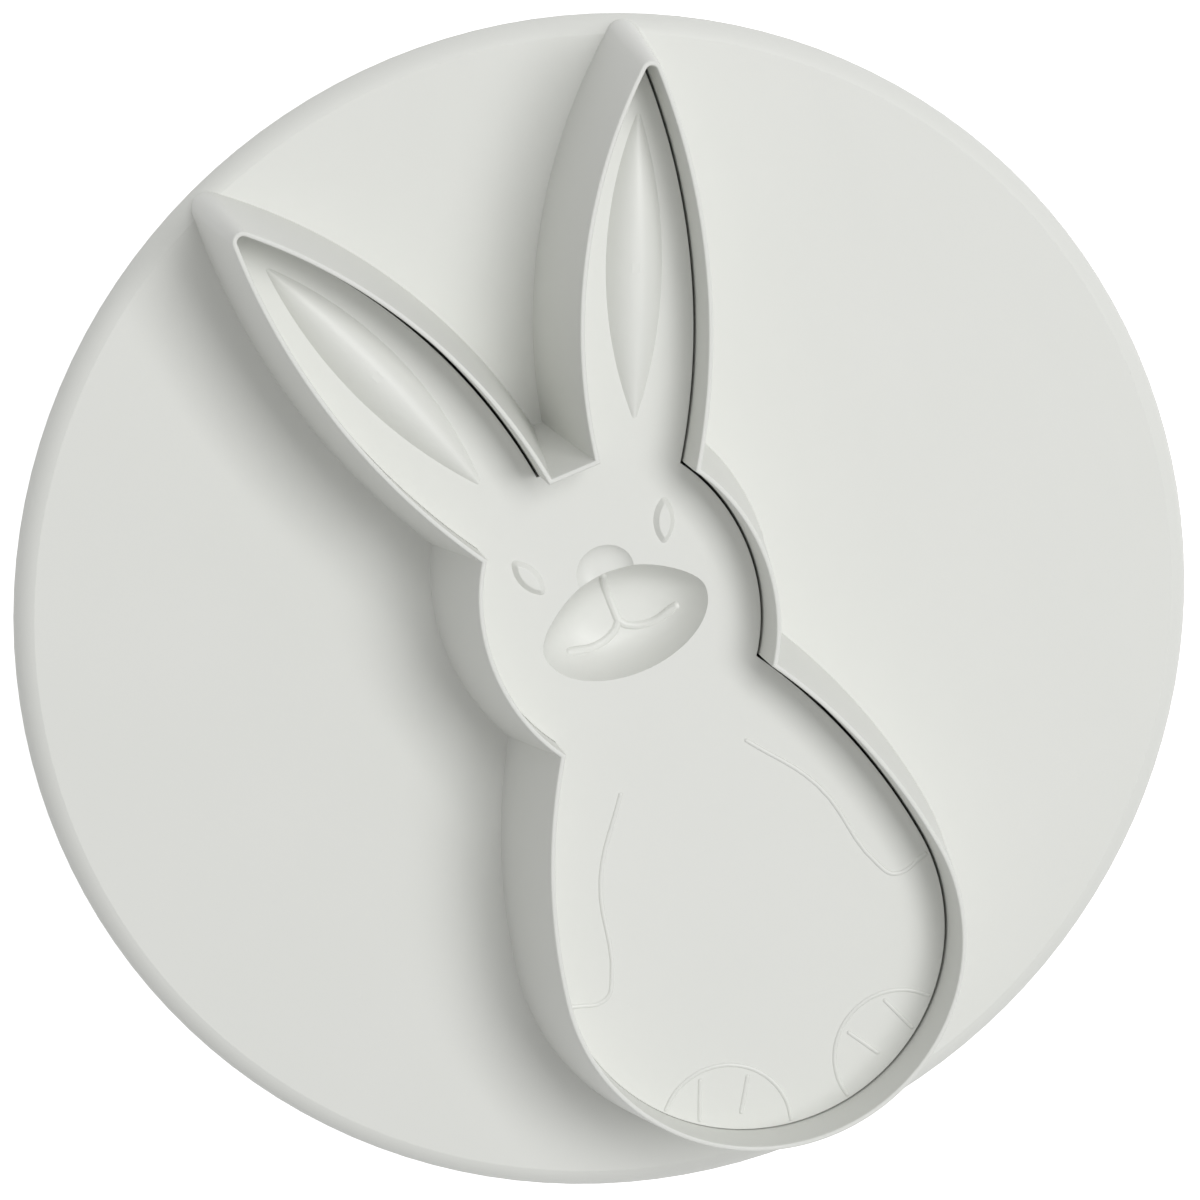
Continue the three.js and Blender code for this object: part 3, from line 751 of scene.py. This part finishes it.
def press_knob():
    mesh = bmesh.new()
    radius = knob_high.x
    top = knob_high.z
    floor = top - KNOB_CUP_DEPTH
    web = screw_low.z + SCREW_HEAD_HEIGHT
    sink = screw_high.x + SEAT_GAP
    hole = SCREW_RADIUS + SEAT_GAP
    socket = stem_high.x + SEAT_GAP
    foot_edge = radius - KNOB_FOOT_ROUNDING
    rim_edge = radius - KNOB_RIM_ROUNDING
    cup_mouth = KNOB_CUP_RADIUS + SMALL_CHAMFER
    cup_bottom = KNOB_CUP_RADIUS - KNOB_CUP_FILLET
    turn(mesh, [
        Vector((sink, web)),
        *rounding(sink + SMALL_CHAMFER, SMALL_CHAMFER, SMALL_CHAMFER, 180, 270),
        *rounding(foot_edge, KNOB_FOOT_ROUNDING, KNOB_FOOT_ROUNDING, -90, 0, WIDE_ROUNDING_STEPS),
        *rounding(rim_edge, top - KNOB_RIM_ROUNDING, KNOB_RIM_ROUNDING, 0, 90, KNOB_RIM_STEPS),
        *rounding(cup_mouth, top - SMALL_CHAMFER, SMALL_CHAMFER, 90, 180),
        *rounding(cup_bottom, floor + KNOB_CUP_FILLET, KNOB_CUP_FILLET, 0, -90),
        Vector((socket, floor)),
        Vector((socket, stem_low.z)),
        Vector((hole, stem_low.z)),
        Vector((hole, web)),
        Vector((sink, web)),
    ])
    return mesh


def cross_slot(turned_by):
    """One tapered bar of the screw's cross recess."""
    mesh = bmesh.new()
    bmesh.ops.create_cube(mesh, size=1)
    depth = 2 * SCREW_SLOT_DEPTH
    size = Matrix.Diagonal((SCREW_SLOT_LENGTH, SCREW_SLOT_WIDTH, depth)).to_4x4()
    bmesh.ops.transform(mesh, matrix=size, verts=mesh.verts[:])
    deep = [vert for vert in mesh.verts if vert.co.z > 0]
    bmesh.ops.scale(mesh, vec=(SCREW_SLOT_TAPER, SCREW_SLOT_TAPER, 1), verts=deep)
    bmesh.ops.rotate(mesh, cent=(0, 0, 0), matrix=Matrix.Rotation(turned_by, 3, "Z"), verts=mesh.verts[:])
    bmesh.ops.translate(mesh, vec=(0, 0, screw_low.z), verts=mesh.verts[:])
    return mesh


def cross_screw():
    mesh = bmesh.new()
    head = screw_high.x
    face = screw_low.z
    seat = face + SCREW_HEAD_HEIGHT
    head_edge = head - SCREW_HEAD_ROUNDING
    point = SCREW_RADIUS / 2
    turn(mesh, [
        Vector((0, face)),
        *rounding(head_edge, face + SCREW_HEAD_ROUNDING, SCREW_HEAD_ROUNDING, -90, 0, SCREW_HEAD_STEPS),
        Vector((head, seat)),
        Vector((SCREW_RADIUS, seat)),
        Vector((SCREW_RADIUS, screw_high.z - point)),
        Vector((point, screw_high.z)),
        Vector((0, screw_high.z)),
    ])
    clean(mesh)
    for turned_by in (0, math.pi / 2):
        mesh = combine(mesh, cross_slot(turned_by), "DIFFERENCE")
    return mesh


def coil_spring():
    mesh = bmesh.new()
    low = knob_high.z - KNOB_CUP_DEPTH + SPRING_GAP
    high = BACK_Z - SPRING_GAP
    mean_radius = (GUIDE_RADIUS + KNOB_CUP_RADIUS) / 2
    start_z = low + SPRING_WIRE_RADIUS - SPRING_GRIND
    end_z = high - SPRING_WIRE_RADIUS + SPRING_GRIND
    ring = bmesh.ops.create_circle(mesh, segments=SPRING_SIDES, radius=SPRING_WIRE_RADIUS)["verts"]
    bmesh.ops.rotate(mesh, cent=(0, 0, 0), matrix=Matrix.Rotation(math.pi / 2, 3, "X"), verts=ring)
    bmesh.ops.translate(mesh, vec=(mean_radius, 0, start_z), verts=ring)
    closed_rise = SPRING_CLOSED_PITCH * SPRING_CLOSED_TURNS
    open_rise = end_z - start_z - 2 * closed_rise
    section = mesh.verts[:] + mesh.edges[:]
    closed_coil = (SPRING_CLOSED_TURNS, closed_rise)
    open_coil = (SPRING_OPEN_TURNS, open_rise)
    for turns, rise in (closed_coil, open_coil, closed_coil):
        steps = round(turns * SPRING_STEPS_PER_TURN)
        section = bmesh.ops.spin(
            mesh, geom=section, cent=(0, 0, 0), axis=(0, 0, 1), dvec=(0, 0, rise / steps),
            angle=turns * math.tau, steps=steps,
        )["geom_last"]
    close_holes(mesh)
    for height, way in ((low, -1), (high, 1)):
        everything = mesh.verts[:] + mesh.edges[:] + mesh.faces[:]
        bmesh.ops.bisect_plane(
            mesh, geom=everything, plane_co=(0, 0, height), plane_no=(0, 0, way), clear_outer=True,
        )
        close_holes(mesh)
    return mesh


# Materials

STREAK_STRETCH = (1.0, 0.08, 0.3)
STREAK_TURN = math.radians(28)
GRAIN_DEPTH = 0.02 * MM


def new_tree(tree, links):
    """Links a list of (from socket, to socket)."""
    for start, end in links:
        tree.links.new(start, end)


def moulded_grain_group():
    """Faint clouding of the plastic, a fine moulded grain, and thin flow streaks."""
    group = bpy.data.node_groups.new("moulded_grain", "ShaderNodeTree")
    for name, scale in (("Cloud Scale", 70.0), ("Grain Scale", 4500.0), ("Streak Scale", 260.0)):
        socket = group.interface.new_socket(name, in_out="INPUT", socket_type="NodeSocketFloat")
        socket.default_value = scale
    for name in ("Cloud", "Grain", "Streak"):
        group.interface.new_socket(name, in_out="OUTPUT", socket_type="NodeSocketFloat")
    inputs = group.nodes.new("NodeGroupInput")
    outputs = group.nodes.new("NodeGroupOutput")
    place = group.nodes.new("ShaderNodeTexCoord")
    stretch = group.nodes.new("ShaderNodeMapping")
    stretch.inputs["Scale"].default_value = STREAK_STRETCH
    stretch.inputs["Rotation"].default_value = (0.0, 0.0, STREAK_TURN)
    links = [(place.outputs["Object"], stretch.inputs["Vector"])]
    for name, detail in (("Cloud", 3.0), ("Grain", 2.0), ("Streak", 4.0)):
        noise = group.nodes.new("ShaderNodeTexNoise")
        noise.inputs["Detail"].default_value = detail
        source = stretch.outputs["Vector"] if name == "Streak" else place.outputs["Object"]
        links += [
            (source, noise.inputs["Vector"]),
            (inputs.outputs[name + " Scale"], noise.inputs["Scale"]),
            (noise.outputs["Fac"], outputs.inputs[name]),
        ]
    new_tree(group, links)
    return group


def grained_material(name, group, scales, tints, roughness, bump, metallic=0.0):
    """A material tinted by the clouding, with roughness from the streaks and a bump from the grain."""
    material = bpy.data.materials.new(name)
    material.use_nodes = True
    nodes = material.node_tree.nodes
    surface = nodes["Principled BSDF"]
    surface.inputs["Metallic"].default_value = metallic
    grain = nodes.new("ShaderNodeGroup")
    grain.node_tree = group
    for socket, scale in scales.items():
        grain.inputs[socket].default_value = scale
    tint = nodes.new("ShaderNodeMix")
    tint.data_type = "RGBA"
    tint.inputs["A"].default_value = (*tints[0], 1)
    tint.inputs["B"].default_value = (*tints[1], 1)
    gloss = nodes.new("ShaderNodeMapRange")
    gloss.inputs["To Min"].default_value, gloss.inputs["To Max"].default_value = roughness
    relief = nodes.new("ShaderNodeBump")
    relief.inputs["Strength"].default_value = bump
    relief.inputs["Distance"].default_value = GRAIN_DEPTH
    new_tree(material.node_tree, [
        (grain.outputs["Cloud"], tint.inputs["Factor"]),
        (tint.outputs["Result"], surface.inputs["Base Color"]),
        (grain.outputs["Streak"], gloss.inputs["Value"]),
        (gloss.outputs["Result"], surface.inputs["Roughness"]),
        (grain.outputs["Grain"], relief.inputs["Height"]),
        (relief.outputs["Normal"], surface.inputs["Normal"]),
    ])
    return material


grain_group = moulded_grain_group()
white_plastic = grained_material(
    "white_plastic", grain_group, {},
    tints=[(0.725, 0.735, 0.7), (0.745, 0.75, 0.72)], roughness=(0.48, 0.6), bump=0.12,
)
# The plate's glossier plastic, whose tints are painted a little lighter than the moulding's as painted
# light for the brighter light on the plate's flats
polished_plastic_painted_lighter = grained_material(
    "polished_plastic_painted_lighter", grain_group, {},
    tints=[(0.735, 0.745, 0.71), (0.755, 0.76, 0.73)], roughness=(0.38, 0.46), bump=0.08,
)
spring_steel = grained_material(
    "spring_steel", grain_group, {"Cloud Scale": 300.0, "Streak Scale": 1500.0},
    tints=[(0.56, 0.57, 0.59), (0.66, 0.67, 0.69)], roughness=(0.22, 0.42), bump=0.2, metallic=1.0,
)
screw_steel = grained_material(
    "screw_steel", grain_group, {"Cloud Scale": 500.0, "Streak Scale": 2200.0},
    tints=[(0.6, 0.61, 0.62), (0.7, 0.71, 0.72)], roughness=(0.25, 0.4), bump=0.2, metallic=1.0,
)

# Pieces

moulding = finished(cutter_moulding(), "cutter_moulding", white_plastic)
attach(moulding, "cutter_body")
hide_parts("flange_disc", "cutting_wall", "guide_tube")

plate = finished(embossed_plate(), "embossed_plate", polished_plastic_painted_lighter)
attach(plate, "plunger")
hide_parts("embossing_plate")

stem = finished(turned_stem(), "turned_stem", white_plastic)
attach(stem, "plunger")
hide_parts("plunger_stem")

knob = finished(press_knob(), "press_knob", white_plastic)
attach(knob, "plunger")
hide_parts("push_knob")

screw = finished(cross_screw(), "cross_screw", screw_steel)
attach(screw, "plunger")
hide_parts("knob_screw")

spring = finished(coil_spring(), "coil_spring", spring_steel)
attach(spring, "cutter_body")
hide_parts("return_spring")
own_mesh(spring)

# Camera, at the angle of the photograph

CAMERA_RIGHT = Vector((0.9153, -0.36139, 0.17783))
CAMERA_UP = Vector((0.39099, 0.90323, -0.17692))
CAMERA_BACK = CAMERA_RIGHT.cross(CAMERA_UP)
CAMERA_DISTANCE = 450 * MM
target = Vector((0, 0, FRONT_Z))

camera_data = bpy.data.cameras.new("camera")
camera_data.lens = 179.0
camera_data.sensor_width = 36.0
camera_data.shift_x = -0.0105
camera_data.shift_y = 0.01
camera_data.clip_start = 0.01
camera = bpy.data.objects.new("camera", camera_data)
turned = Matrix((CAMERA_RIGHT, CAMERA_UP, CAMERA_BACK)).transposed().to_4x4()
camera.matrix_world = Matrix.Translation(target + CAMERA_BACK * CAMERA_DISTANCE) @ turned
bpy.context.scene.collection.objects.link(camera)
bpy.context.scene.camera = camera

# Light: a long soft lamp nearly overhead, towards the right of the picture, and an even white surround

LAMP_WAY = Vector((0.39, 0.1, 0.915)).normalized()
LAMP_DISTANCE = 1.5
LAMP_LENGTH = 1.1
LAMP_WIDTH = 0.6
LAMP_POWER = 12.9
SURROUND = 0.443

lamp_data = bpy.data.lights.new("softbox", "AREA")
lamp_data.energy = LAMP_POWER
lamp_data.shape = "RECTANGLE"
lamp_data.size = LAMP_LENGTH
lamp_data.size_y = LAMP_WIDTH
lamp = bpy.data.objects.new("softbox", lamp_data)
lamp.matrix_world = (
    Matrix.Translation(target + LAMP_WAY * LAMP_DISTANCE)
    @ LAMP_WAY.to_track_quat("Z", "Y").to_matrix().to_4x4()
)
bpy.context.scene.collection.objects.link(lamp)


def seen_directly(tree):
    """A socket that is 1 for rays that show the background: from the camera, or by gloss or glass."""
    path = tree.nodes.new("ShaderNodeLightPath")
    sum_of_rays = path.outputs["Is Camera Ray"]
    for name in ("Is Glossy Ray", "Is Transmission Ray"):
        either = tree.nodes.new("ShaderNodeMath")
        either.operation = "MAXIMUM"
        tree.links.new(sum_of_rays, either.inputs[0])
        tree.links.new(path.outputs[name], either.inputs[1])
        sum_of_rays = either.outputs[0]
    return sum_of_rays


world = bpy.data.worlds.new("surround")
world.use_nodes = True
bpy.context.scene.world = world
background = world.node_tree.nodes["Background"]
background.inputs["Color"].default_value = (1, 1, 1, 1)
strength = world.node_tree.nodes.new("ShaderNodeMapRange")
strength.inputs["To Min"].default_value = SURROUND
strength.inputs["To Max"].default_value = 1.0
new_tree(world.node_tree, [
    (seen_directly(world.node_tree), strength.inputs["Value"]),
    (strength.outputs["Result"], background.inputs["Strength"]),
])

FLOOR_SIZE = 6.0
FLOOR_GLOW = 0.86
floor_mesh = bmesh.new()
bmesh.ops.create_grid(floor_mesh, x_segments=1, y_segments=1, size=FLOOR_SIZE / 2)
floor = to_object(floor_mesh, "floor")
pale = bpy.data.materials.new("pale_floor")
pale.use_nodes = True
pale_nodes = pale.node_tree.nodes
pale_surface = pale_nodes["Principled BSDF"]
pale_surface.inputs["Base Color"].default_value = (0.8, 0.8, 0.8, 1)
pale_surface.inputs["Roughness"].default_value = 0.9
pale_surface.inputs["Emission Color"].default_value = (1, 1, 1, 1)
glow = pale_nodes.new("ShaderNodeMath")
glow.operation = "MULTIPLY"
glow.inputs[1].default_value = FLOOR_GLOW
new_tree(pale.node_tree, [
    (seen_directly(pale.node_tree), glow.inputs[0]),
    (glow.outputs[0], pale_surface.inputs["Emission Strength"]),
])
floor.data.materials.append(pale)

bpy.context.scene.view_settings.view_transform = "Standard"
